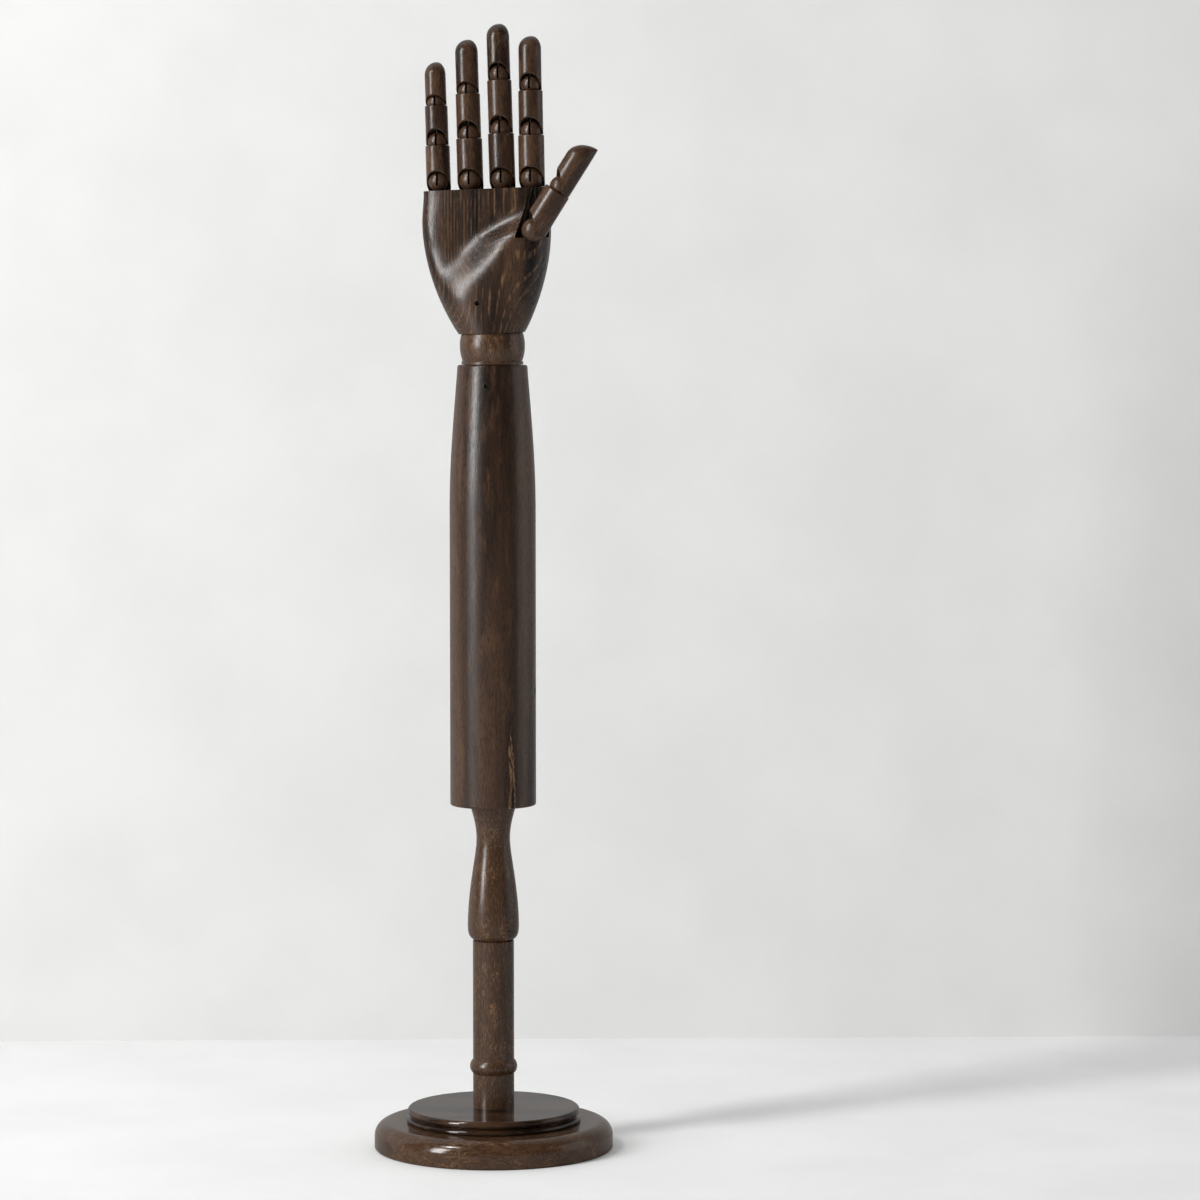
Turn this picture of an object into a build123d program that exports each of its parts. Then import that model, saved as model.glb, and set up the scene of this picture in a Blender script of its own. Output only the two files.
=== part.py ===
"""Wooden hand mannequin: a posable right hand on a turned forearm, post and round base.

Millimetres. The base stands on Z = 0 with the post's axis on Z; the palm faces -Y and the
thumb is on the +X side. The hand leans a little to the little finger's side at the wrist.
"""
from build123d import *
from math import acos, asin, cos, degrees, pi, radians, sin, sqrt, tan
import os

os.makedirs("parts", exist_ok=True)

# Base and its screw
PLINTH_DIAMETER = 145.0
PLINTH_HEIGHT = 16.5
PLINTH_SIDE = 8.0
PLINTH_SHOULDER = 8.5
PLINTH_FOOT_CHAMFER = 1.0
CAP_DIAMETER = 106.0
CAP_HEIGHT = 8.5
CAP_LIP = 3.0
CAP_GROOVE = 1.2
CAP_EDGE = 1.4
TENON_DIAMETER = 16.0
TENON_LENGTH = 17.0
SCREW_DIAMETER = 5.0
SCREW_LENGTH = 34.0
SCREW_HEAD_DIAMETER = 10.0
SCREW_HEAD_HEIGHT = 3.0
SCREW_RECESS_DIAMETER = 14.0
SCREW_RECESS_DEPTH = 4.0

# Turned post
POST_DIAMETER = 25.0
POST_SHAFT_HEIGHT = 103.0
BEAD_DIAMETER = 28.8
BEAD_WIDTH = 8.5
BEAD_HEIGHT = 25.0
VASE_FOOT_GROOVE = 1.0
VASE_HEIGHT = 81.8
VASE_DIAMETER = 31.1
VASE_BELLY_HEIGHT = 10.0
VASE_NECK_DIAMETER = 22.0
VASE_NECK_HEIGHT = 52.0
VASE_TOP_DIAMETER = 28.4
SPIGOT_DIAMETER = 18.0
SPIGOT_LENGTH = 86.0

# Forearm and its two metal pieces
FOREARM_DIAMETER = 52.0
FOREARM_LENGTH = 266.2
FOREARM_STRAIGHT = 180.0
FOREARM_TOP_DIAMETER = 42.0
FOREARM_EDGE = 1.2
LOCK_SCREW_DIAMETER = 4.0
LOCK_SCREW_HEIGHT = 70.0
LOCK_SCREW_DEPTH = 1.0
LOCK_SCREW_GRIP = 4.0

# Wrist
WRIST_BALL_DIAMETER = 40.6
WRIST_BARREL_DIAMETER = 39.2
WRIST_GAP_LOW = 10.6
WRIST_GAP_HIGH = 8.4
WRIST_FLANGE_DIAMETER = 37.2
WRIST_FLANGE_HEIGHT = 1.5
WRIST_FLANGE_GROOVE = 0.6
WRIST_SPIGOT_DIAMETER = 24.0
WRIST_SPIGOT_LENGTH = 8.0
WRIST_TURN_CLEARANCE = 0.1
WRIST_BEND = 20.0
WRIST_BORE = 11.0
HAND_LEAN = 2.0
SPRING_DIAMETER = 7.0
SPRING_WIRE = 1.2
SPRING_BODY = 30.0
SPRING_WELL = 12.0
CROSS_PIN_DIAMETER = 2.8
CROSS_PIN_RECESS = 3.0
FOREARM_PIN_DROP = 22.7
PALM_PIN_RISE = 26.5
PALM_PIN_YAW = 14.0
PALM_PIN_REACH = 10.0

# Palm
PALM_LENGTH = 86.4
PALM_HEEL_RADIUS = 19.8
PALM_WIDEST = 77.8
PALM_WIDEST_RISE = 66.0
PALM_OFFSET = -0.8
PALM_FLARE = 0.885
PALM_TOP_WIDTH = 74.6
PALM_TOP_BACK = 11.0
PALM_TOP_FRONT = 10.4
PALM_SQUARENESS = 1.6
MOUND_FRONT = 21.0
SCOOP_FOOT = 10.0
SCOOP_RUN = 44.0
SCOOP_FLOOR = 10.4
SCOOP_FLANK = 34.0
SCOOP_RIM_FRONT = 12.2
SCOOP_RIM_WIDTH = 26.0
RIDGE_FOOT = -15.0
RIDGE_SLOPE = 0.79
RIDGE_RUNOFF = 0.8
LEDGE_RISE = 56.2
LEDGE_WALL = 19.2
LEDGE_PLATE = 4.6
LEDGE_CORNER = 4.0
LEDGE_LEAN = 16.0
PALM_POINTS = 96
PALM_ROWS = 44
PALM_SMOOTHING = 0.1

# Joints of the fingers: balls, sockets, links and pins
KNUCKLE_BALL = 13.4
MIDDLE_BALL = 12.4
TIP_BALL = 11.4
LITTLE_BALL_STEP = 1.0
THUMB_BALL = 14.2
THUMB_TIP_BALL = 12.9
KNUCKLE_SEAT = 5.8
MIDDLE_SEAT = 2.4
TIP_SEAT = 3.6
LOW_TIP_SEAT = 1.8
THUMB_SEAT = 4.4
THUMB_TIP_SEAT = 3.2
SOCKET_WALL = 0.85
SHOULDER = 0.5
SOCKET_GAP = 0.25
SEAT_GAP = 0.03
END_GAP = 0.35
KNUCKLE_RISE = -2.0
KNUCKLE_ARCH = 50.0
THUMB_RISE = -0.4
MIDDLE_RISE = -1.5
MIDDLE_ARCH = 55.0
TIP_RISE = -1.9
TIP_ARCH = 54.0
LOW_TIP_RISE = -0.2
LOW_TIP_ARCH = 40.0
ARCH_LIP = 1.2
PEG_DIAMETER = 5.0
KNUCKLE_PEG = 9.0
PEG_SHARE = 0.4
GRIP_SHARE = 0.45
SLOT_WIDTH = 1.3
LINK_THICKNESS = 0.9
LINK_WIDTH = 2.4
EYE_DIAMETER = 4.6
EYE_ROOM = 0.3
PIN_DIAMETER = 1.6
PIN_RUN_CLEARANCE = 0.05
PIN_FIT = 0.02
PIN_SHORT = 0.6
HOLE_FIT = 0.1
EDGE_ROUND = 0.6

# Fingers: lengths from joint plane to joint plane, gaps at the knuckles and lean in the hand
LITTLE_PROXIMAL = 21.3
LITTLE_MIDDLE = 23.9
LITTLE_DISTAL = 26.3
LITTLE_SPLAY = 0.2
RING_PROXIMAL = 24.8
RING_MIDDLE = 26.8
RING_DISTAL = 32.5
RING_SPLAY = 0.3
MIDDLE_PROXIMAL = 27.1
MIDDLE_MIDDLE = 31.7
MIDDLE_DISTAL = 33.9
MIDDLE_SPLAY = 0.2
INDEX_PROXIMAL = 25.3
INDEX_MIDDLE = 26.5
INDEX_DISTAL = 32.8
INDEX_SPLAY = 1.1
LITTLE_RING_GAP = 4.3
RING_MIDDLE_GAP = 3.9
MIDDLE_INDEX_GAP = 2.3
FINGER_ROW_OFFSET = -0.7
TIP_DOME = 8.2
TIP_STEPS = 12

# Thumb
THUMB_PROXIMAL = 27.3
THUMB_DISTAL = 33.5
THUMB_SPLAY = 34.6
THUMB_TURN = 25.0
THUMB_ACROSS = 29.8
THUMB_FORWARD = 14.2
THUMB_DOME = 11.0

# Places that follow from the sizes
CAP_TOP = PLINTH_HEIGHT + CAP_HEIGHT
VASE_FOOT = CAP_TOP + POST_SHAFT_HEIGHT
FOREARM_FOOT = VASE_FOOT + VASE_HEIGHT
FOREARM_TOP = FOREARM_FOOT + FOREARM_LENGTH
WRIST_HEIGHT = FOREARM_TOP + WRIST_GAP_LOW
WRIST_RADIUS = WRIST_BALL_DIAMETER / 2
DISH_RADIUS = WRIST_RADIUS + SOCKET_GAP
PALM_TOP = WRIST_GAP_HIGH + PALM_LENGTH
LEDGE_HEIGHT = WRIST_GAP_HIGH + LEDGE_RISE

lean = radians(HAND_LEAN)
wrist = Plane(origin=(0, 0, WRIST_HEIGHT))
hand = Plane(
    origin=wrist.origin,
    x_dir=(cos(lean), 0, sin(lean)),
    z_dir=(-sin(lean), 0, cos(lean)),
)


def at(plane, x, y, z):
    """A point given in a plane's own directions."""
    return plane.from_local_coords((x, y, z))


def side_of(plane):
    """The plane across the hinge: its x is the back of the finger, its y is up the finger."""
    return Plane(origin=plane.origin, x_dir=plane.y_dir, z_dir=plane.x_dir)


def profile_of(plane):
    """The plane for turned profiles: its x is a radius and its y is the turning axis."""
    return Plane(origin=plane.origin, x_dir=plane.x_dir, z_dir=-plane.y_dir)


def turning_axis(plane):
    return Axis(plane.origin, plane.z_dir)


def write(part, name):
    part.label = name
    export_step(part, f"parts/{name}.step")


# Base: the plinth has a rounded shoulder and a recess for the screw's head underneath.
with BuildPart() as base_plinth:
    plinth_radius = PLINTH_DIAMETER / 2
    with BuildSketch(Plane.XZ):
        with BuildLine():
            Polyline(
                (0, 0),
                (plinth_radius - PLINTH_FOOT_CHAMFER, 0),
                (plinth_radius, PLINTH_FOOT_CHAMFER),
                (plinth_radius, PLINTH_SIDE),
            )
            EllipticalCenterArc(
                (plinth_radius - PLINTH_SHOULDER, PLINTH_SIDE),
                PLINTH_SHOULDER,
                PLINTH_HEIGHT - PLINTH_SIDE,
                start_angle=0,
                arc_size=90,
            )
            Polyline((plinth_radius - PLINTH_SHOULDER, PLINTH_HEIGHT), (0, PLINTH_HEIGHT), (0, 0))
        make_face()
    revolve(axis=Axis.Z)
    with BuildSketch(Plane.XY.offset(CAP_TOP - TENON_LENGTH)):
        Circle(TENON_DIAMETER / 2 + HOLE_FIT)
    extrude(amount=TENON_LENGTH, mode=Mode.SUBTRACT)
    with BuildSketch(Plane.XY):
        Circle(SCREW_RECESS_DIAMETER / 2)
    extrude(amount=SCREW_RECESS_DEPTH, mode=Mode.SUBTRACT)
    with BuildSketch(Plane.XY):
        Circle(SCREW_DIAMETER / 2 + HOLE_FIT)
    extrude(amount=PLINTH_HEIGHT, mode=Mode.SUBTRACT)
write(base_plinth.part, "base_plinth")

# The cap sits on the plinth: a round lip, a groove, and a disc with a round edge.
with BuildPart() as base_cap:
    lip_radius = CAP_DIAMETER / 2
    disc_radius = lip_radius - CAP_GROOVE / 2
    groove_height = PLINTH_HEIGHT + CAP_LIP
    disc_foot = groove_height + CAP_GROOVE
    with BuildSketch(Plane.XZ):
        with BuildLine():
            Polyline(
                (TENON_DIAMETER / 2 + HOLE_FIT, CAP_TOP),
                (TENON_DIAMETER / 2 + HOLE_FIT, PLINTH_HEIGHT),
                (lip_radius - CAP_EDGE, PLINTH_HEIGHT),
            )
            ThreePointArc(
                (lip_radius - CAP_EDGE, PLINTH_HEIGHT),
                (lip_radius, PLINTH_HEIGHT + CAP_LIP / 2),
                (lip_radius - CAP_EDGE, groove_height),
            )
            Polyline(
                (lip_radius - CAP_EDGE, groove_height),
                (disc_radius - CAP_EDGE - CAP_GROOVE / 2, groove_height + CAP_GROOVE / 2),
                (disc_radius - CAP_EDGE, disc_foot),
            )
            ThreePointArc(
                (disc_radius - CAP_EDGE, disc_foot),
                (disc_radius, (disc_foot + CAP_TOP) / 2),
                (disc_radius - CAP_EDGE, CAP_TOP),
            )
            Line((disc_radius - CAP_EDGE, CAP_TOP), (TENON_DIAMETER / 2 + HOLE_FIT, CAP_TOP))
        make_face()
    revolve(axis=Axis.Z)
write(base_cap.part, "base_cap")

# The post: tenon, shaft with one bead, vase-shaped head and the spigot that the forearm sits on.
with BuildPart() as stand_post:
    shaft_radius = POST_DIAMETER / 2
    bead_low = CAP_TOP + BEAD_HEIGHT - BEAD_WIDTH / 2
    bead_high = bead_low + BEAD_WIDTH
    tenon_foot = CAP_TOP - TENON_LENGTH
    with BuildSketch(Plane.XZ):
        with BuildLine():
            Polyline(
                (0, tenon_foot),
                (TENON_DIAMETER / 2, tenon_foot),
                (TENON_DIAMETER / 2, CAP_TOP),
                (shaft_radius, CAP_TOP),
                (shaft_radius, bead_low),
            )
            ThreePointArc(
                (shaft_radius, bead_low),
                (BEAD_DIAMETER / 2, CAP_TOP + BEAD_HEIGHT),
                (shaft_radius, bead_high),
            )
            Polyline(
                (shaft_radius, bead_high),
                (shaft_radius, VASE_FOOT - VASE_FOOT_GROOVE),
                (shaft_radius - VASE_FOOT_GROOVE, VASE_FOOT - VASE_FOOT_GROOVE / 2),
                (shaft_radius, VASE_FOOT),
            )
            Spline(
                (shaft_radius, VASE_FOOT),
                (VASE_DIAMETER / 2, VASE_FOOT + VASE_BELLY_HEIGHT),
                (VASE_NECK_DIAMETER / 2, VASE_FOOT + VASE_NECK_HEIGHT),
                (VASE_TOP_DIAMETER / 2, FOREARM_FOOT),
                tangents=((1, 0.5), (0.35, 1)),
            )
            Polyline(
                (VASE_TOP_DIAMETER / 2, FOREARM_FOOT),
                (SPIGOT_DIAMETER / 2, FOREARM_FOOT),
                (SPIGOT_DIAMETER / 2, FOREARM_FOOT + SPIGOT_LENGTH),
                (0, FOREARM_FOOT + SPIGOT_LENGTH),
                (0, tenon_foot),
            )
        make_face()
    revolve(axis=Axis.Z)
    with BuildSketch(Plane.XY.offset(tenon_foot)):
        Circle(SCREW_DIAMETER / 2 + PIN_FIT)
    extrude(amount=SCREW_RECESS_DEPTH + SCREW_LENGTH - tenon_foot, mode=Mode.SUBTRACT)
    with BuildSketch(Plane.YZ.offset(SPIGOT_DIAMETER / 2 - LOCK_SCREW_GRIP)):
        with Locations((0, FOREARM_FOOT + LOCK_SCREW_HEIGHT)):
            Circle(LOCK_SCREW_DIAMETER / 2 + PIN_FIT)
    extrude(amount=LOCK_SCREW_GRIP, mode=Mode.SUBTRACT)
write(stand_post.part, "stand_post")

with BuildPart(Plane.XY.offset(SCREW_RECESS_DEPTH)) as base_screw:
    Cylinder(SCREW_DIAMETER / 2, SCREW_LENGTH, align=(Align.CENTER, Align.CENTER, Align.MIN))
    Cylinder(SCREW_HEAD_DIAMETER / 2, SCREW_HEAD_HEIGHT, align=(Align.CENTER, Align.CENTER, Align.MAX))
write(base_screw.part, "base_screw")

# The forearm: straight, then a long taper to the wrist, with a dish for the ball and a spring well.
with BuildPart() as forearm:
    forearm_radius = FOREARM_DIAMETER / 2
    taper_foot = FOREARM_FOOT + FOREARM_STRAIGHT
    with BuildSketch(Plane.XZ) as forearm_profile:
        with BuildLine():
            Polyline(
                (0, FOREARM_TOP),
                (0, FOREARM_FOOT),
                (forearm_radius, FOREARM_FOOT),
                (forearm_radius, taper_foot),
            )
            Spline(
                (forearm_radius, taper_foot),
                (FOREARM_TOP_DIAMETER / 2, FOREARM_TOP),
                tangents=((0, 1), (-0.075, 1)),
            )
            Line((FOREARM_TOP_DIAMETER / 2, FOREARM_TOP), (0, FOREARM_TOP))
        make_face()
        fillet(forearm_profile.vertices().sort_by(Axis.X).group_by(Axis.Y)[0][-1], FOREARM_EDGE)
        fillet(forearm_profile.vertices().group_by(Axis.Y)[-1].sort_by(Axis.X)[-1], FOREARM_EDGE)
    revolve(axis=Axis.Z)
    with BuildSketch(Plane.XY.offset(FOREARM_FOOT)):
        Circle(SPIGOT_DIAMETER / 2 + HOLE_FIT)
    extrude(amount=SPIGOT_LENGTH + HOLE_FIT, mode=Mode.SUBTRACT)
    with BuildSketch(Plane.XY.offset(FOREARM_TOP)):
        Circle(WRIST_SPIGOT_DIAMETER / 2 + WRIST_TURN_CLEARANCE)
    extrude(amount=-WRIST_SPIGOT_LENGTH, mode=Mode.SUBTRACT)
    with BuildSketch(wrist.offset(-FOREARM_PIN_DROP - SPRING_DIAMETER)):
        Circle(SPRING_WELL / 2)
    extrude(amount=FOREARM_PIN_DROP + SPRING_DIAMETER, mode=Mode.SUBTRACT)
    with BuildSketch(Plane.XZ.offset(-forearm_radius)):
        with Locations((0, WRIST_HEIGHT - FOREARM_PIN_DROP)):
            Circle(CROSS_PIN_DIAMETER / 2 + PIN_FIT)
    extrude(amount=FOREARM_DIAMETER, mode=Mode.SUBTRACT)
    with BuildSketch(Plane.YZ):
        with Locations((0, FOREARM_FOOT + LOCK_SCREW_HEIGHT)):
            Circle(LOCK_SCREW_DIAMETER / 2 + PIN_FIT)
    extrude(amount=forearm_radius, mode=Mode.SUBTRACT)
write(forearm.part, "forearm")

lock_end = FOREARM_DIAMETER / 2 - LOCK_SCREW_DEPTH
lock_start = SPIGOT_DIAMETER / 2 - LOCK_SCREW_GRIP
with BuildPart(Plane.YZ.offset(lock_start)) as lock_screw:
    with Locations((0, FOREARM_FOOT + LOCK_SCREW_HEIGHT)):
        Cylinder(
            LOCK_SCREW_DIAMETER / 2, lock_end - lock_start, align=(Align.CENTER, Align.CENTER, Align.MIN)
        )
write(lock_screw.part, "lock_screw")

forearm_pin_plane = Plane(origin=(0, 0, WRIST_HEIGHT - FOREARM_PIN_DROP), z_dir=(0, 1, 0))
with BuildPart(forearm_pin_plane) as forearm_pin:
    Cylinder(CROSS_PIN_DIAMETER / 2, FOREARM_TOP_DIAMETER - 2 * CROSS_PIN_RECESS)
write(forearm_pin.part, "forearm_pin")

# The wrist ball: a flange and spigot that turn on the forearm, a barrel, and a round head in the
# palm's dish. It is bored for the spring, with a flare at the top so that the spring can swing.
with BuildPart() as wrist_ball:
    barrel_radius = WRIST_BARREL_DIAMETER / 2
    flange_radius = WRIST_FLANGE_DIAMETER / 2
    spigot_radius = WRIST_SPIGOT_DIAMETER / 2
    flange_foot = -WRIST_GAP_LOW + END_GAP
    flange_top = flange_foot + WRIST_FLANGE_HEIGHT
    neck_height = sqrt(WRIST_RADIUS**2 - flange_radius**2)
    bore_radius = WRIST_BORE / 2
    bore_foot = flange_foot - WRIST_SPIGOT_LENGTH + 2 * END_GAP
    flare = bore_radius + WRIST_RADIUS * tan(radians(WRIST_BEND))
    rim_height = sqrt(WRIST_RADIUS**2 - flare**2)
    with BuildSketch(profile_of(wrist)):
        with BuildLine():
            Polyline(
                (bore_radius, 0),
                (bore_radius, bore_foot),
                (spigot_radius, bore_foot),
                (spigot_radius, flange_foot),
                (flange_radius, flange_foot),
                (flange_radius, flange_top),
                (flange_radius - WRIST_FLANGE_GROOVE, flange_top + WRIST_FLANGE_GROOVE),
            )
            ThreePointArc(
                (flange_radius - WRIST_FLANGE_GROOVE, flange_top + WRIST_FLANGE_GROOVE),
                (barrel_radius, 0),
                (flange_radius, neck_height),
            )
            RadiusArc((flange_radius, neck_height), (flare, rim_height), -WRIST_RADIUS)
            Line((flare, rim_height), (bore_radius, 0))
        make_face()
    revolve(axis=turning_axis(wrist))
write(wrist_ball.part, "wrist_ball")

# The wrist spring: a close-wound body with a round hook at each end, hung on the two cross pins.
palm_pin_yaw = radians(PALM_PIN_YAW)
palm_pin_direction = hand.x_dir * sin(palm_pin_yaw) + hand.y_dir * cos(palm_pin_yaw)
palm_pin_plane = Plane(origin=at(hand, 0, 0, PALM_PIN_RISE), z_dir=palm_pin_direction)
hook_radius = (CROSS_PIN_DIAMETER + SPRING_WIRE) / 2 + SOCKET_GAP
with BuildPart(wrist) as wrist_spring:
    Cylinder(SPRING_DIAMETER / 2, SPRING_BODY)
    Cylinder(SPRING_DIAMETER / 2 - SPRING_WIRE, SPRING_BODY - 2 * SPRING_WIRE, mode=Mode.SUBTRACT)
    for pin_plane, way in ((forearm_pin_plane, -1), (palm_pin_plane, 1)):
        body_end = at(wrist, 0, 0, way * (SPRING_BODY - SPRING_WIRE) / 2)
        hook_end = pin_plane.origin - (pin_plane.origin - body_end).normalized() * hook_radius
        with BuildSketch(Plane(origin=body_end, z_dir=hook_end - body_end)):
            Circle(SPRING_WIRE / 2)
        extrude(amount=(hook_end - body_end).length)
        with BuildSketch(side_of(pin_plane)):
            with Locations((hook_radius, 0)):
                Circle(SPRING_WIRE / 2)
        revolve(axis=Axis(pin_plane.origin, pin_plane.z_dir))
write(wrist_spring.part, "wrist_spring")


# Joint places: one plane for each hinge, with x along the hinge, y to the back and z up the finger.
def leaning(origin, splay):
    """The plane of a finger's knuckle: it leans across the hand by its splay."""
    tilt = radians(splay)
    return Plane(
        origin=origin,
        x_dir=hand.x_dir * cos(tilt) - hand.z_dir * sin(tilt),
        z_dir=hand.z_dir * cos(tilt) + hand.x_dir * sin(tilt),
    )


def outer_diameter(ball):
    """A phalanx is as wide as the ball that its socket holds, with the gap and the wall."""
    return ball + 2 * (SOCKET_GAP + SOCKET_WALL)


finger_balls = (KNUCKLE_BALL, MIDDLE_BALL, TIP_BALL)
little_balls = tuple(ball - LITTLE_BALL_STEP for ball in finger_balls)
little_width = outer_diameter(little_balls[0])
finger_width = outer_diameter(KNUCKLE_BALL)
little_to_ring = (little_width + finger_width) / 2 + LITTLE_RING_GAP
ring_to_middle = finger_width + RING_MIDDLE_GAP
middle_to_index = finger_width + MIDDLE_INDEX_GAP
row_start = FINGER_ROW_OFFSET - (little_to_ring + ring_to_middle + middle_to_index) / 2
knuckle_places = {
    "little": row_start,
    "ring": row_start + little_to_ring,
    "middle": row_start + little_to_ring + ring_to_middle,
    "index": row_start + little_to_ring + ring_to_middle + middle_to_index,
}
finger_lengths = {
    "little": (LITTLE_PROXIMAL, LITTLE_MIDDLE, LITTLE_DISTAL, LITTLE_SPLAY, little_balls),
    "ring": (RING_PROXIMAL, RING_MIDDLE, RING_DISTAL, RING_SPLAY, finger_balls),
    "middle": (MIDDLE_PROXIMAL, MIDDLE_MIDDLE, MIDDLE_DISTAL, MIDDLE_SPLAY, finger_balls),
    "index": (INDEX_PROXIMAL, INDEX_MIDDLE, INDEX_DISTAL, INDEX_SPLAY, finger_balls),
}
tip_fits = {
    "little": (LOW_TIP_SEAT, LOW_TIP_RISE, LOW_TIP_ARCH),
    "ring": (LOW_TIP_SEAT, LOW_TIP_RISE, LOW_TIP_ARCH),
    "middle": (TIP_SEAT, TIP_RISE, TIP_ARCH),
    "index": (TIP_SEAT, TIP_RISE, TIP_ARCH),
}
knuckles = {}
knuckle_sizes = {}
for finger, (proximal, middle, distal, splay, balls) in finger_lengths.items():
    knuckle_place = at(hand, knuckle_places[finger], 0, PALM_TOP + KNUCKLE_SEAT)
    knuckles[finger] = leaning(knuckle_place, splay)
    knuckle_sizes[finger] = balls[0]

thumb_lean = radians(THUMB_SPLAY)
thumb_turn = radians(THUMB_TURN)
thumb_axis = hand.x_dir * sin(thumb_lean) + hand.z_dir * cos(thumb_lean)
thumb_back = (
    (hand.x_dir * cos(thumb_lean) - hand.z_dir * sin(thumb_lean)) * cos(thumb_turn)
    + hand.y_dir * sin(thumb_turn)
)
thumb_origin = at(hand, THUMB_ACROSS, -THUMB_FORWARD, LEDGE_HEIGHT + THUMB_SEAT)
thumb_knuckle = Plane(origin=thumb_origin, x_dir=thumb_back.cross(thumb_axis), z_dir=thumb_axis)
palm_joints = [(knuckles[finger], knuckle_sizes[finger]) for finger in knuckles]
palm_joints.append((thumb_knuckle, THUMB_BALL))

link_hole = sqrt(LINK_WIDTH**2 + LINK_THICKNESS**2) / 2 + HOLE_FIT
peg_hole = PEG_DIAMETER / 2 + HOLE_FIT


# Palm: sections across the hand from heel to knuckles, wide at the thumb, scooped in front.
def blend(t):
    """Smooth step from 0 to 1."""
    t = min(max(t, 0), 1)
    return t * t * (3 - 2 * t)


def palm_section(rise):
    """Points round the palm at a height above its heel, from the thumb's side round the back."""
    climb = rise / PALM_LENGTH
    flare = sin(pi / 2 * min(rise / PALM_WIDEST_RISE, 1) ** PALM_FLARE)
    narrow = blend((rise - PALM_WIDEST_RISE) / (PALM_LENGTH - PALM_WIDEST_RISE))
    half_width = PALM_HEEL_RADIUS + (PALM_WIDEST / 2 - PALM_HEEL_RADIUS) * flare
    half_width -= (PALM_WIDEST - PALM_TOP_WIDTH) / 2 * narrow
    back = PALM_HEEL_RADIUS + (PALM_TOP_BACK - PALM_HEEL_RADIUS) * blend(climb)
    hollow = blend((rise - SCOOP_FOOT) / SCOOP_RUN)
    fade = blend((rise - LEDGE_RISE) / (PALM_LENGTH - LEDGE_RISE))
    mound = PALM_HEEL_RADIUS + (MOUND_FRONT - PALM_HEEL_RADIUS) * blend(rise / LEDGE_RISE)
    mound -= (MOUND_FRONT - PALM_TOP_FRONT) * fade
    floor = PALM_HEEL_RADIUS + (SCOOP_FLOOR - PALM_HEEL_RADIUS) * hollow
    floor += (PALM_TOP_FRONT - SCOOP_FLOOR) * fade
    rim = PALM_HEEL_RADIUS + (SCOOP_RIM_FRONT - PALM_HEEL_RADIUS) * hollow
    rim -= (SCOOP_RIM_FRONT - PALM_TOP_FRONT) * fade
    ridge = RIDGE_FOOT + RIDGE_SLOPE * (rise - SCOOP_FOOT) + RIDGE_RUNOFF * max(rise - LEDGE_RISE, 0)
    squareness = 2 + PALM_SQUARENESS * climb
    points = []
    for step in range(PALM_POINTS):
        angle = 2 * pi * step / PALM_POINTS
        reach = (abs(cos(angle)) ** squareness + abs(sin(angle)) ** squareness) ** (-1 / squareness)
        across = cos(angle) * reach * half_width
        deep = abs(sin(angle)) * reach
        x = across + PALM_OFFSET * flare
        front = floor + (rim - floor) * (1 - blend((across + half_width) / SCOOP_RIM_WIDTH))
        front += (mound - floor) * (1 - blend((ridge - x) / SCOOP_FLANK))
        points.append((x, deep * (back if step < PALM_POINTS / 2 else -front)))
    return points


def palm_skin():
    """One smooth surface through closely spaced sections, from the heel to the knuckles."""
    rows = []
    for row in range(PALM_ROWS + 1):
        rise = PALM_LENGTH * row / PALM_ROWS
        points = palm_section(rise)
        rows.append([at(hand, x, y, WRIST_GAP_HIGH + rise) for x, y in points + points[:1]])
    return Face.make_surface_from_array_of_points(rows, tol=PALM_SMOOTHING, min_deg=3, max_deg=3)


palm_side = palm_skin()
palm_ends = [Face(Wire(edge)) for edge in palm_side.edges() if edge.is_closed]
with BuildPart() as palm:
    add(Solid(Shell([palm_side, *palm_ends])))
    with BuildSketch(hand.offset(LEDGE_HEIGHT)) as ledge:
        with Locations((LEDGE_WALL, -LEDGE_PLATE)):
            Rectangle(PALM_WIDEST, PALM_WIDEST, align=(Align.MIN, Align.MAX))
        fillet(ledge.vertices().group_by(Axis.X)[0].sort_by(Axis.Y)[-1], LEDGE_CORNER)
    wall_direction = hand.x_dir * sin(radians(LEDGE_LEAN)) + hand.z_dir * cos(radians(LEDGE_LEAN))
    extrude(amount=PALM_LENGTH, dir=wall_direction, mode=Mode.SUBTRACT)
    with BuildSketch(profile_of(hand)):
        Circle(DISH_RADIUS)
        Rectangle(DISH_RADIUS, 2 * DISH_RADIUS, align=(Align.MAX, Align.CENTER), mode=Mode.SUBTRACT)
    revolve(axis=turning_axis(hand), mode=Mode.SUBTRACT)
    with BuildSketch(hand):
        Circle(SPRING_WELL / 2)
    extrude(amount=PALM_PIN_RISE + SPRING_DIAMETER, mode=Mode.SUBTRACT)
    with BuildSketch(palm_pin_plane.offset(-PALM_WIDEST / 2)):
        Circle(CROSS_PIN_DIAMETER / 2 + PIN_FIT)
    extrude(amount=PALM_WIDEST / 2 + PALM_PIN_REACH, mode=Mode.SUBTRACT)
    for joint, ball in palm_joints:
        seat_radius = ball / 2 + SEAT_GAP
        with BuildSketch(profile_of(joint)):
            Circle(seat_radius)
            Rectangle(seat_radius, 2 * seat_radius, align=(Align.MAX, Align.CENTER), mode=Mode.SUBTRACT)
        revolve(axis=turning_axis(joint), mode=Mode.SUBTRACT)
        with BuildSketch(joint):
            Circle(peg_hole)
        extrude(amount=-(seat_radius + KNUCKLE_PEG), mode=Mode.SUBTRACT)
write(palm.part, "palm")

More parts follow.
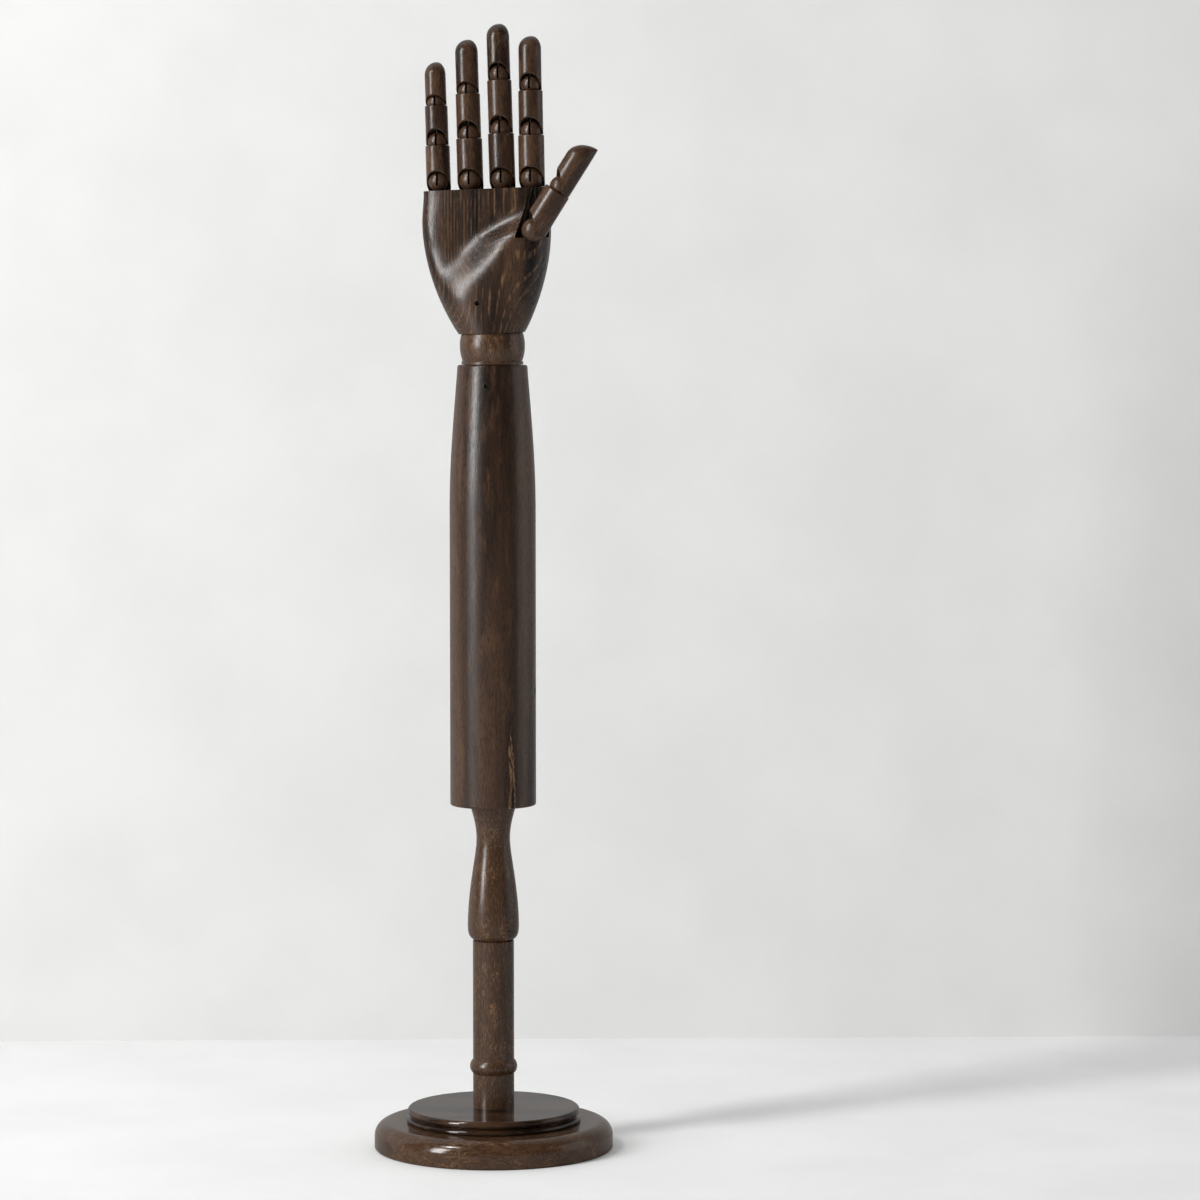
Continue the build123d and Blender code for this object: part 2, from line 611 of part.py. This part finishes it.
palm_pin_length = PALM_HEEL_RADIUS - CROSS_PIN_RECESS + PALM_PIN_REACH
with BuildPart(palm_pin_plane.offset(PALM_PIN_REACH)) as palm_pin:
    Cylinder(CROSS_PIN_DIAMETER / 2, palm_pin_length, align=(Align.CENTER, Align.CENTER, Align.MAX))
write(palm_pin.part, "palm_pin")


# Joint hardware: a slotted wooden ball with a peg, a steel pin across it, and a steel link.
def add_ball(joint, ball, peg_length):
    """Adds a ball, its peg, the slot that the link swings in, and the pin's hole."""
    radius = ball / 2
    peg_radius = PEG_DIAMETER / 2
    peg_foot = -radius - peg_length
    meeting = -sqrt(radius**2 - peg_radius**2)
    neck = degrees(acos(peg_radius / radius))
    slot_end = EYE_DIAMETER / 2 + EYE_ROOM
    with BuildSketch(side_of(joint)) as turned:
        with BuildLine():
            CenterArc((0, 0), radius, -neck, 90 + neck)
            Polyline((0, radius), (0, peg_foot), (peg_radius, peg_foot), (peg_radius, meeting))
        make_face()
    revolve(turned.sketch, axis=turning_axis(joint))
    with BuildSketch(side_of(joint)) as slot:
        with Locations((slot_end, -slot_end)):
            Rectangle(2 * radius, 2 * radius, align=(Align.MAX, Align.MIN))
    extrude(slot.sketch, amount=SLOT_WIDTH / 2, both=True, mode=Mode.SUBTRACT)
    with BuildSketch(side_of(joint)) as pin_hole:
        Circle(PIN_DIAMETER / 2 + PIN_FIT)
    extrude(pin_hole.sketch, amount=ball, both=True, mode=Mode.SUBTRACT)


def add_pin(joint, ball):
    """Adds the hinge pin across a ball."""
    with BuildSketch(side_of(joint)) as pin_end:
        Circle(PIN_DIAMETER / 2)
    extrude(pin_end.sketch, amount=(ball - PIN_SHORT) / 2, both=True)


def link(name, joint, length):
    """A flat link: an eye on the pin and a shank in the phalanx above."""
    with BuildPart() as blade:
        with BuildSketch(side_of(joint)):
            Circle(EYE_DIAMETER / 2)
            Rectangle(LINK_WIDTH, length, align=(Align.CENTER, Align.MIN))
            Circle(PIN_DIAMETER / 2 + PIN_RUN_CLEARANCE, mode=Mode.SUBTRACT)
        extrude(amount=LINK_THICKNESS / 2, both=True)
    write(blade.part, name)


def cut_socket_end(joint, floor, ball, rise, arch):
    """Cuts a phalanx's lower end: a hollow arch in front and a square hood at the back."""
    slope = radians(arch)
    outer = outer_diameter(ball) / 2
    hollow = ball / 2 - SOCKET_GAP
    crown = Vector(0, -outer, rise + outer * tan(slope))
    centre = crown * (1 - (hollow + ARCH_LIP) / crown.length)
    arch_normal = joint.y_dir * sin(slope) + joint.z_dir * cos(slope)
    split(bisect_by=Plane(origin=at(joint, 0, 0, rise), z_dir=arch_normal), keep=Keep.TOP)
    split(bisect_by=floor.offset(END_GAP), keep=Keep.TOP)
    with Locations(at(joint, 0, centre.Y, centre.Z)):
        Sphere(hollow, mode=Mode.SUBTRACT)


def phalanx(name, joint, floor, ball, rise, arch, length, next_ball, next_seat):
    """A turned phalanx between two balls; gives the plane of the next joint."""
    next_joint = joint.offset(length + next_seat)
    socket = ball / 2 + SOCKET_GAP
    outer = outer_diameter(ball) / 2
    top = outer_diameter(next_ball) / 2 + SHOULDER
    dish = next_ball / 2 + SEAT_GAP
    dish_foot = length + next_seat - dish
    wood = dish_foot - socket
    grip_end = socket + GRIP_SHARE * wood
    peg_foot = dish_foot - PEG_SHARE * wood
    hole_turn = degrees(acos(link_hole / socket))
    dish_start = degrees(asin(next_seat / dish))
    dish_stop = degrees(acos(peg_hole / dish))
    with BuildPart() as bone:
        with BuildSketch(profile_of(joint)):
            with BuildLine():
                CenterArc((0, 0), socket, 0, hole_turn)
                Polyline(
                    (link_hole, sqrt(socket**2 - link_hole**2)),
                    (link_hole, grip_end + HOLE_FIT),
                    (0, grip_end + HOLE_FIT),
                    (0, peg_foot - HOLE_FIT),
                    (peg_hole, peg_foot - HOLE_FIT),
                    (peg_hole, length + next_seat - sqrt(dish**2 - peg_hole**2)),
                )
                CenterArc((0, length + next_seat), dish, -dish_stop, dish_stop - dish_start)
                Line((sqrt(dish**2 - next_seat**2), length), (top - EDGE_ROUND, length))
                RadiusArc((top - EDGE_ROUND, length), (top, length - EDGE_ROUND), EDGE_ROUND)
                Polyline(
                    (top, length - EDGE_ROUND),
                    (outer, 0),
                    (outer, -socket),
                    (socket, -socket),
                    (socket, 0),
                )
            make_face()
        revolve(axis=turning_axis(joint))
        cut_socket_end(joint, floor, ball, rise, arch)
    write(bone.part, name)
    link(f"{name}_link", joint, grip_end)
    with BuildPart() as top_ball:
        add_ball(next_joint, next_ball, PEG_SHARE * wood)
    write(top_ball.part, f"{name}_ball")
    with BuildPart() as top_pin:
        add_pin(next_joint, next_ball)
    write(top_pin.part, f"{name}_pin")
    return next_joint


def fingertip(name, joint, floor, ball, rise, arch, length, dome):
    """A distal phalanx: its end is rounded on the pad's side and straight on the nail's side."""
    socket = ball / 2 + SOCKET_GAP
    outer = outer_diameter(ball) / 2
    shank = length - dome
    grip_end = socket + GRIP_SHARE * (shank - socket)
    with BuildPart() as tip:
        for step in range(-TIP_STEPS, TIP_STEPS):
            rounding = pi / 2 * max(step, 0) / TIP_STEPS
            run_in = (socket + shank) * min(step, 0) / TIP_STEPS
            radius = outer * cos(rounding)
            with BuildSketch(joint.offset(shank + run_in + dome * sin(rounding))):
                with Locations((0, outer - radius)):
                    Circle(radius)
        loft()
        with BuildSketch(profile_of(joint)):
            with BuildLine():
                CenterArc((0, 0), socket, 0, degrees(acos(link_hole / socket)))
                Polyline(
                    (link_hole, sqrt(socket**2 - link_hole**2)),
                    (link_hole, grip_end + HOLE_FIT),
                    (0, grip_end + HOLE_FIT),
                    (0, -socket),
                    (socket, -socket),
                    (socket, 0),
                )
            make_face()
        revolve(axis=turning_axis(joint), mode=Mode.SUBTRACT)
        cut_socket_end(joint, floor, ball, rise, arch)
    write(tip.part, name)
    link(f"{name}_link", joint, grip_end)


with BuildPart() as knuckle_balls:
    for joint, ball in palm_joints:
        add_ball(joint, ball, KNUCKLE_PEG)
write(knuckle_balls.part, "knuckle_balls")

with BuildPart() as knuckle_pins:
    for joint, ball in palm_joints:
        add_pin(joint, ball)
write(knuckle_pins.part, "knuckle_pins")

# Fingers: proximal, middle and distal phalanx, each on the ball of the piece below.
middle_joints = {}
tip_joints = {}
for finger, (proximal, middle, distal, splay, balls) in finger_lengths.items():
    knuckle = knuckles[finger]
    middle_joints[finger] = phalanx(
        f"{finger}_proximal", knuckle, hand.offset(PALM_TOP), balls[0], KNUCKLE_RISE, KNUCKLE_ARCH,
        proximal, balls[1], MIDDLE_SEAT,
    )
    joint = middle_joints[finger]
    tip_seat, tip_rise, tip_arch = tip_fits[finger]
    tip_joints[finger] = phalanx(
        f"{finger}_middle", joint, joint.offset(-MIDDLE_SEAT), balls[1], MIDDLE_RISE, MIDDLE_ARCH,
        middle - MIDDLE_SEAT, balls[2], tip_seat,
    )
    joint = tip_joints[finger]
    fingertip(
        f"{finger}_distal", joint, joint.offset(-tip_seat), balls[2], tip_rise, tip_arch,
        distal - tip_seat, TIP_DOME,
    )

# Thumb: two phalanges on the ledge's ball.
thumb_joint = phalanx(
    "thumb_proximal", thumb_knuckle, hand.offset(LEDGE_HEIGHT), THUMB_BALL, THUMB_RISE, KNUCKLE_ARCH,
    THUMB_PROXIMAL, THUMB_TIP_BALL, THUMB_TIP_SEAT,
)
fingertip(
    "thumb_distal", thumb_joint, thumb_joint.offset(-THUMB_TIP_SEAT), THUMB_TIP_BALL, MIDDLE_RISE,
    MIDDLE_ARCH, THUMB_DISTAL - THUMB_TIP_SEAT, THUMB_DOME,
)
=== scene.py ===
from math import cos, radians, sin

import bpy
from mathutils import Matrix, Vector

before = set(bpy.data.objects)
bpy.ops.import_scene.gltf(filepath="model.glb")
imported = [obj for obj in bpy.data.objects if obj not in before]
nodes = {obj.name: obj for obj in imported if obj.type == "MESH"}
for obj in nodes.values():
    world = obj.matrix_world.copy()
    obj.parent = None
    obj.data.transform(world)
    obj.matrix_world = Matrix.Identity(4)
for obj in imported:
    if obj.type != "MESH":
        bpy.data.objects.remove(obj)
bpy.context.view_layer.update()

# Plinth
# The wide disc that stands on the floor: one board of walnut turned on a lathe, its grain lying
# across, stained dark brown and lacquered. The end grain shows at the left and right.
STAIN_BLACK = (0.0075, 0.0045, 0.0034, 1)
STAIN_BROWN = (0.0420, 0.0215, 0.0120, 1)
STAIN_WARM = (0.1200, 0.0620, 0.0320, 1)
STAIN_GOLD = (0.2500, 0.1350, 0.0620, 1)
WAVES_PER_METRE = (28, 28, 9)
WAVE_REACH = (0.014, 0.014, 0)
BANDS_PER_METRE = (52, 52, 2.6)
VEIN_STRETCHES_PER_METRE = (40, 40, 6)
SPECKLES_PER_METRE = (1400, 1400, 260)
SMUDGES_PER_METRE = (170, 170, 40)
FLECKS_PER_METRE = (420, 420, 240)
FLECK_PATCHES_PER_METRE = (120, 120, 60)
PORES_PER_METRE = (1500, 1500, 55)
RINGS_PER_METRE = 620
RING_DASHES_PER_METRE = (700, 700, 70)
PORE_DEPTH = 0.00006
GRAIN_ACROSS = (0, radians(90), 0)


def node(tree, kind, inputs=None, **properties):
    """A node with its properties, and its inputs given as values or as sockets to link."""
    made = tree.nodes.new(kind)
    for name, value in properties.items():
        setattr(made, name, value)
    for socket, value in (inputs or {}).items():
        if isinstance(value, bpy.types.NodeSocket):
            tree.links.new(value, made.inputs[socket])
        else:
            made.inputs[socket].default_value = value
    return made


def noise(tree, vector, scale, detail=2, roughness=0.5):
    """Noise from 0 to 1 with its own number of features per metre along each axis."""
    scaled = node(tree, "ShaderNodeVectorMath", {0: vector, 1: scale}, operation="MULTIPLY")
    inputs = {"Vector": scaled.outputs[0], "Scale": 1, "Detail": detail, "Roughness": roughness}
    return node(tree, "ShaderNodeTexNoise", inputs).outputs[0]


def step(tree, value, low, high):
    """0 below low, 1 above high and smooth between them."""
    inputs = {"Value": value, "From Min": low, "From Max": high}
    return node(tree, "ShaderNodeMapRange", inputs, interpolation_type="SMOOTHSTEP").outputs[0]


def maths(tree, operation, first, second=0.0, third=0.0):
    """Arithmetic on values or sockets."""
    return node(tree, "ShaderNodeMath", {0: first, 1: second, 2: third}, operation=operation).outputs[0]


def mix(tree, share, first, second):
    """The second colour over the first one."""
    return node(tree, "ShaderNodeMix", {0: share, 6: first, 7: second}, data_type="RGBA").outputs[2]


def group(name, inputs, outputs):
    """A node group with named sockets: gives its tree, what comes in and what goes out."""
    tree = bpy.data.node_groups.new(name, "ShaderNodeTree")
    for socket, kind in inputs.items():
        tree.interface.new_socket(socket, in_out="INPUT", socket_type=kind)
    for socket, kind in outputs.items():
        tree.interface.new_socket(socket, in_out="OUTPUT", socket_type=kind)
    return tree, tree.nodes.new("NodeGroupInput").outputs, tree.nodes.new("NodeGroupOutput").inputs


# The grain runs along the group's Z, and growth rings lie round a pith on that axis.
walnut, given, result = group(
    "stained walnut",
    {
        "Vector": "NodeSocketVector",
        "Tone": "NodeSocketFloat",
        "Veins": "NodeSocketFloat",
        "Smudges": "NodeSocketFloat",
        "Flecks": "NodeSocketFloat",
        "Rings": "NodeSocketFloat",
        "Wander": "NodeSocketFloat",
        "Satin": "NodeSocketFloat",
    },
    {"Color": "NodeSocketColor", "Roughness": "NodeSocketFloat", "Height": "NodeSocketFloat"},
)


def grain_maths(operation, vector, by):
    """Arithmetic on the vectors that the walnut's figure is laid out on."""
    inputs = {0: vector, "Scale" if operation == "SCALE" else 1: by}
    return node(walnut, "ShaderNodeVectorMath", inputs, operation=operation).outputs[0]


waves = grain_maths("MULTIPLY", given["Vector"], WAVES_PER_METRE)
waves = node(walnut, "ShaderNodeTexNoise", {"Vector": waves, "Scale": 1, "Detail": 1}).outputs[1]
waves = grain_maths("MULTIPLY", grain_maths("SUBTRACT", waves, (0.5, 0.5, 0.5)), WAVE_REACH)
grain = grain_maths("ADD", given["Vector"], grain_maths("SCALE", waves, given["Wander"]))
speckle = step(walnut, noise(walnut, grain, SPECKLES_PER_METRE, 2, 0.6), 0.3, 0.7)

# Broad bands from black to brown, with a golden line along some of their edges.
bands = noise(walnut, grain, BANDS_PER_METRE, 4, 0.55)
bands = maths(walnut, "MULTIPLY_ADD", given["Tone"], 0.3, bands)
color = mix(walnut, step(walnut, bands, 0.58, 0.80), STAIN_BLACK, STAIN_BROWN)
cores = maths(walnut, "MULTIPLY", step(walnut, bands, 0.72, 0.92), speckle)
color = mix(walnut, maths(walnut, "MULTIPLY", cores, 0.5), color, STAIN_WARM)
edges = maths(walnut, "ABSOLUTE", maths(walnut, "SUBTRACT", bands, 0.66))
edges = maths(walnut, "SUBTRACT", 1.0, step(walnut, edges, 0.004, 0.022))
stretches = step(walnut, noise(walnut, grain, VEIN_STRETCHES_PER_METRE, 1), 0.42, 0.6)
edges = maths(walnut, "MULTIPLY", edges, stretches)
edges = maths(walnut, "MULTIPLY", edges, step(walnut, speckle, 0.1, 0.8))
color = mix(walnut, maths(walnut, "MULTIPLY", edges, given["Veins"]), color, STAIN_GOLD)

# Soft warm smudges, and short crooked flecks where the tool crossed the fibres.
smudges = step(walnut, noise(walnut, grain, SMUDGES_PER_METRE, 3, 0.6), 0.5, 0.72)
smudges = maths(walnut, "MULTIPLY", smudges, maths(walnut, "MULTIPLY_ADD", speckle, 0.7, 0.3))
color = mix(walnut, maths(walnut, "MULTIPLY", smudges, given["Smudges"]), color, STAIN_WARM)
flecks = maths(walnut, "SUBTRACT", noise(walnut, grain, FLECKS_PER_METRE, 2), 0.5)
flecks = maths(walnut, "SUBTRACT", 1.0, step(walnut, maths(walnut, "ABSOLUTE", flecks), 0.0, 0.035))
patches = step(walnut, noise(walnut, grain, FLECK_PATCHES_PER_METRE, 2), 0.5, 0.66)
flecks = maths(walnut, "MULTIPLY", flecks, patches)
color = mix(walnut, maths(walnut, "MULTIPLY", flecks, given["Flecks"]), color, STAIN_GOLD)

# Growth rings as fine dashed lines, then the pores.
across = grain_maths("MULTIPLY", grain, (1, 1, 0))
radius = node(walnut, "ShaderNodeVectorMath", {0: across}, operation="LENGTH").outputs["Value"]
rings = maths(walnut, "FRACT", maths(walnut, "MULTIPLY", radius, RINGS_PER_METRE))
rings = maths(walnut, "MULTIPLY", step(walnut, rings, 0.62, 0.9), step(walnut, rings, 1.0, 0.92))
dashes = step(walnut, noise(walnut, grain, RING_DASHES_PER_METRE, 2), 0.42, 0.62)
rings = maths(walnut, "MULTIPLY", rings, dashes)
color = mix(walnut, maths(walnut, "MULTIPLY", rings, given["Rings"]), color, STAIN_GOLD)
pores = step(walnut, noise(walnut, grain, PORES_PER_METRE, 2), 0.6, 0.7)
color = mix(walnut, maths(walnut, "MULTIPLY", pores, 0.6), color, STAIN_BLACK)
walnut.links.new(color, result["Color"])
walnut.links.new(maths(walnut, "MULTIPLY_ADD", speckle, 0.06, given["Satin"]), result["Roughness"])
walnut.links.new(maths(walnut, "SUBTRACT", speckle, pores), result["Height"])


def wood(name, shift, turn=(0, 0, 0), satin=0.26, **figure):
    """Lacquered walnut: which part of the board the piece is cut from, and what figure it shows."""
    material = bpy.data.materials.new(name)
    material.use_nodes = True
    tree = material.node_tree
    shader = tree.nodes["Principled BSDF"]
    place = node(tree, "ShaderNodeTexCoord").outputs["Object"]
    board = node(tree, "ShaderNodeMapping", {"Vector": place, "Location": shift, "Rotation": turn})
    timber = tree.nodes.new("ShaderNodeGroup")
    timber.node_tree = walnut
    tree.links.new(board.outputs[0], timber.inputs["Vector"])
    timber.inputs["Wander"].default_value = 1.0
    timber.inputs["Satin"].default_value = satin
    for trait, amount in figure.items():
        timber.inputs[trait.capitalize()].default_value = amount
    relief = node(tree, "ShaderNodeBump", {"Height": timber.outputs["Height"], "Distance": PORE_DEPTH})
    relief.inputs["Strength"].default_value = satin
    tree.links.new(timber.outputs["Color"], shader.inputs["Base Color"])
    tree.links.new(timber.outputs["Roughness"], shader.inputs["Roughness"])
    tree.links.new(relief.outputs[0], shader.inputs["Normal"])
    return material


def dress(name, material):
    """Gives a CAD piece its finish."""
    nodes[name].data.materials.clear()
    nodes[name].data.materials.append(material)


plinth_cut = (0.02, 0.05, 0.3)
plinth_walnut = wood("plinth walnut", plinth_cut, GRAIN_ACROSS, 0.13, tone=1.4, smudges=0.6, flecks=0.6)
dress("base_plinth", plinth_walnut)

# Cap
# The smaller disc glued on the plinth, turned from the same board with a grooved rim, and
# lacquered to the highest gloss of all the pieces: the post's foot is mirrored in its top.
dress("base_cap", wood("cap walnut", (0.01, 0.045, 0.7), GRAIN_ACROSS, 0.09, tone=0.8, smudges=0.3))

# Screw under the base
# A steel wood screw in a recess underneath, driven through plinth and cap into the post, with
# fine marks along its shank.
STEEL = (0.42, 0.41, 0.39, 1)
STEEL_DULL = (0.20, 0.19, 0.18, 1)
TARNISH_PER_METRE = (300, 300, 300)
MARKS_UPRIGHT = (3000, 3000, 600)
MARK_DEPTH = 0.00002


def steel(name, scratches):
    """Drawn or cut steel with fine marks along the piece."""
    material = bpy.data.materials.new(name)
    material.use_nodes = True
    tree = material.node_tree
    shader = tree.nodes["Principled BSDF"]
    place = node(tree, "ShaderNodeTexCoord").outputs["Object"]
    marks = noise(tree, place, scratches, 3, 0.6)
    tarnish = noise(tree, place, TARNISH_PER_METRE, 2)
    shade = mix(tree, step(tree, tarnish, 0.4, 0.65), STEEL, STEEL_DULL)
    tree.links.new(shade, shader.inputs["Base Color"])
    tree.links.new(maths(tree, "ADD", maths(tree, "MULTIPLY", marks, 0.3), 0.2), shader.inputs["Roughness"])
    relief = node(tree, "ShaderNodeBump", {"Height": marks, "Distance": MARK_DEPTH})
    tree.links.new(relief.outputs[0], shader.inputs["Normal"])
    shader.inputs["Metallic"].default_value = 1.0
    return material


dress("base_screw", steel("screw steel", MARKS_UPRIGHT))

# Post
# The turned post: a plain shaft with one bead, and a vase-shaped head under the forearm. Its
# grain runs upright, with short light flecks all over where the tool crossed the fibres.
post_cut = (0.07, 0.03, 0.1)
post_walnut = wood("post walnut", post_cut, satin=0.22, tone=1.5, veins=0.3, smudges=0.6, flecks=0.7)
dress("stand_post", post_walnut)

# Forearm
# A plain turned column that narrows to the wrist, with dark and golden streaks that wander up
# the grain. It is pushed on the post's spigot and held by a headless screw in its right side.
MARKS_SIDEWAYS = (600, 3000, 3000)
forearm_cut = (0.13, 0.06, 0.8)
dress("forearm", wood("forearm walnut", forearm_cut, satin=0.27, tone=0.85, veins=0.9, smudges=0.5))
dress("lock_screw", steel("lock screw steel", MARKS_SIDEWAYS))
pin_steel = steel("pin steel", MARKS_SIDEWAYS)
dress("forearm_pin", pin_steel)

# Wrist
# A turned barrel that spins on the forearm, with a round head for the palm's dish. A tension
# spring inside pulls palm, barrel and forearm together.
wrist_cut = (0.03, 0.08, 0.2)
dress("wrist_ball", wood("wrist walnut", wrist_cut, satin=0.25, tone=1.2, smudges=0.7, flecks=0.8))
dress("wrist_spring", pin_steel)

# Palm
# Carved from one block: the scoop in front cuts through the growth rings, which show as fine
# light dashes down the palm. A cross pin through the wrist end holds the spring.
PITH = (0.012, 0.012)
palm_cut = (-PITH[0], -PITH[1], 0.0)
palm_walnut = wood("palm walnut", palm_cut, tone=0.6, smudges=0.4, rings=0.5, wander=0.06)
dress("palm", palm_walnut)
dress("palm_pin", pin_steel)

# Knuckles
# Five slotted wooden balls pegged in the palm, four for the fingers and one for the thumb, with a
# steel pin across each slot as the hinge.
BALL_SATIN = 0.28
BALL_FIGURE = {"tone": 1.5, "smudges": 0.7}
knuckle_cut = (0.05, 0.02, 0.15)
dress("knuckle_balls", wood("ball walnut", knuckle_cut, satin=BALL_SATIN, flecks=0.3, **BALL_FIGURE))
dress("knuckle_pins", pin_steel)

# Fingers and thumb
# Turned phalanges, each cut from its own bit of wood, so some are lighter and some darker.
# A slotted ball is pegged on each top, and a flat steel link in the next piece turns on its pin.
TONES = {
    "little": (1.2, 1.3, 0.9),
    "ring": (1.2, 1.5, 0.7),
    "middle": (1.2, 1.5, 0.8),
    "index": (1.2, 1.0, 1.4),
    "thumb": (1.1, 1.0),
}
BONES = {2: ("proximal", "distal"), 3: ("proximal", "middle", "distal")}
THUMB_LEAN = radians(32.6)
NEXT_CUT = Vector((0.031, 0.017, 0.113))
BALL_CUT = Vector((0.4, 0, 0))
cut = Vector((0, 0, 0))
for finger, tones in TONES.items():
    turn = (0, -THUMB_LEAN, 0) if finger == "thumb" else (0, 0, 0)
    for bone, tone in zip(BONES[len(tones)], tones):
        piece = f"{finger}_{bone}"
        cut = cut + NEXT_CUT
        figure = {"tone": tone, "veins": 0.4, "smudges": 0.8 * tone, "flecks": 0.2}
        dress(piece, wood(f"{finger} {bone} walnut", cut, turn, **figure))
        dress(f"{piece}_link", pin_steel)
        if bone != "distal":
            ball_name = f"{finger} {bone} ball walnut"
            ball_walnut = wood(ball_name, cut + BALL_CUT, turn, BALL_SATIN, **BALL_FIGURE)
            dress(f"{piece}_ball", ball_walnut)
            dress(f"{piece}_pin", pin_steel)

# Room
# A pale painted wall close behind the object, facing the camera, and a pale painted floor that
# the object stands on. Both coats of paint are a little uneven.
CAMERA_AZIMUTH = radians(10)
WALL_BEHIND = 0.38
ROOM_SIZE = 6.0
CLOUDS_PER_METRE = (9, 9, 9)
FLOOR_LOW = (0.87, 0.875, 0.87, 1)
FLOOR_HIGH = (0.91, 0.915, 0.91, 1)
FLOOR_MIRROR = 0.4
WALL_LOW = (0.72, 0.722, 0.715, 1)
WALL_HIGH = (0.76, 0.762, 0.755, 1)
WALL_MIRROR = 0.5


def plaster(name, low, high, mirror):
    """Painted plaster with faint clouds; mirror is the share of it that the lacquer mirrors.

    Seen from behind it is clear, so that it never hides the object.
    """
    material = bpy.data.materials.new(name)
    material.use_nodes = True
    tree = material.node_tree
    shader = tree.nodes["Principled BSDF"]
    place = node(tree, "ShaderNodeTexCoord").outputs["Object"]
    clouds = step(tree, noise(tree, place, CLOUDS_PER_METRE, 4), 0.3, 0.7)
    mirrored = node(tree, "ShaderNodeLightPath").outputs["Is Glossy Ray"]
    paint = mix(tree, clouds, low, high)
    dimmed = mix(tree, 1.0 - mirror, paint, (0, 0, 0, 1))
    tree.links.new(mix(tree, mirrored, paint, dimmed), shader.inputs["Base Color"])
    behind = node(tree, "ShaderNodeNewGeometry").outputs["Backfacing"]
    tree.links.new(maths(tree, "SUBTRACT", 1.0, behind), shader.inputs["Alpha"])
    shader.inputs["Roughness"].default_value = 0.9
    shader.inputs["Specular IOR Level"].default_value = 0.1
    return material


def sheet(name, location, rotation, material):
    """A flat painted surface of the room."""
    bpy.ops.mesh.primitive_plane_add(size=ROOM_SIZE, location=location, rotation=rotation)
    made = bpy.context.object
    made.name = name
    made.data.materials.append(material)


floor_paint = plaster("floor paint", FLOOR_LOW, FLOOR_HIGH, FLOOR_MIRROR)
sheet("floor", (0, 0, 0), (0, 0, CAMERA_AZIMUTH), floor_paint)
wall_place = (-sin(CAMERA_AZIMUTH) * WALL_BEHIND, cos(CAMERA_AZIMUTH) * WALL_BEHIND, 0)
wall_paint = plaster("wall paint", WALL_LOW, WALL_HIGH, WALL_MIRROR)
sheet("wall", wall_place, (radians(90), 0, CAMERA_AZIMUTH), wall_paint)

# Light
# A tall soft box at the left, a smaller and nearer lamp high on the same side, a weak white panel
# at the right, and an even room light that no reflection shows. The camera sees the room paler.
SOFTBOX_AZIMUTH = radians(-46)
SOFTBOX_DISTANCE = 3.2
SOFTBOX_HEIGHT = 1.3
SOFTBOX_SIZE = (0.72, 2.0)
SOFTBOX_POWER = 80
LAMP_AZIMUTH = radians(-48)
LAMP_DISTANCE = 1.5
LAMP_HEIGHT = 2.0
LAMP_SIZE = (0.3, 0.3)
LAMP_POWER = 13
PANEL_AZIMUTH = radians(100)
PANEL_DISTANCE = 1.6
PANEL_HEIGHT = 0.5
PANEL_SIZE = (1.2, 1.4)
PANEL_POWER = 3.5
AIM_HEIGHT = 0.4
ROOM_LIGHT = 0.37
ROOM_BACKGROUND = 0.82


def lamp(name, azimuth, distance, height, size, power):
    """A rectangular lamp round the object, turned to its middle."""
    light = bpy.data.lights.new(name, "AREA")
    light.shape = "RECTANGLE"
    light.size, light.size_y = size
    light.energy = power
    made = bpy.data.objects.new(name, light)
    made.location = (sin(azimuth) * distance, -cos(azimuth) * distance, height)
    away = made.location - Vector((0, 0, AIM_HEIGHT))
    made.rotation_euler = away.to_track_quat("Z", "Y").to_euler()
    bpy.context.scene.collection.objects.link(made)


lamp("softbox", SOFTBOX_AZIMUTH, SOFTBOX_DISTANCE, SOFTBOX_HEIGHT, SOFTBOX_SIZE, SOFTBOX_POWER)
lamp("lamp", LAMP_AZIMUTH, LAMP_DISTANCE, LAMP_HEIGHT, LAMP_SIZE, LAMP_POWER)
lamp("panel", PANEL_AZIMUTH, PANEL_DISTANCE, PANEL_HEIGHT, PANEL_SIZE, PANEL_POWER)
world = bpy.data.worlds.new("room")
bpy.context.scene.world = world
world.use_nodes = True
sky = world.node_tree.nodes["Background"]
path = node(world.node_tree, "ShaderNodeLightPath")
sky.inputs["Color"].default_value = (1.0, 1.0, 1.0, 1)
inputs = {"Value": path.outputs["Is Glossy Ray"], "To Min": ROOM_LIGHT, "To Max": 0.0}
level = node(world.node_tree, "ShaderNodeMapRange", inputs).outputs[0]
inputs = {"Value": path.outputs["Is Camera Ray"], "To Min": level, "To Max": ROOM_BACKGROUND}
level = node(world.node_tree, "ShaderNodeMapRange", inputs).outputs[0]
world.node_tree.links.new(level, sky.inputs["Strength"])
bpy.context.scene.view_settings.view_transform = "Standard"

# Camera
# Seen from a little to the right of the palm's front, from three quarters of the object's
# height and tilted slightly down, through a long lens.
CAMERA_DISTANCE = 2.6
CAMERA_HEIGHT = 0.52
CAMERA_PITCH = radians(85.91)
CAMERA_YAW = radians(8.573)
CAMERA_LENS = 129.4
CAMERA_REACH = 20
camera = bpy.data.cameras.new("camera")
camera.lens = CAMERA_LENS
camera.clip_end = CAMERA_REACH
viewer = bpy.data.objects.new("camera", camera)
viewer.location = (
    sin(CAMERA_AZIMUTH) * CAMERA_DISTANCE,
    -cos(CAMERA_AZIMUTH) * CAMERA_DISTANCE,
    CAMERA_HEIGHT,
)
viewer.rotation_euler = (CAMERA_PITCH, 0, CAMERA_YAW)
bpy.context.scene.collection.objects.link(viewer)
bpy.context.scene.camera = viewer
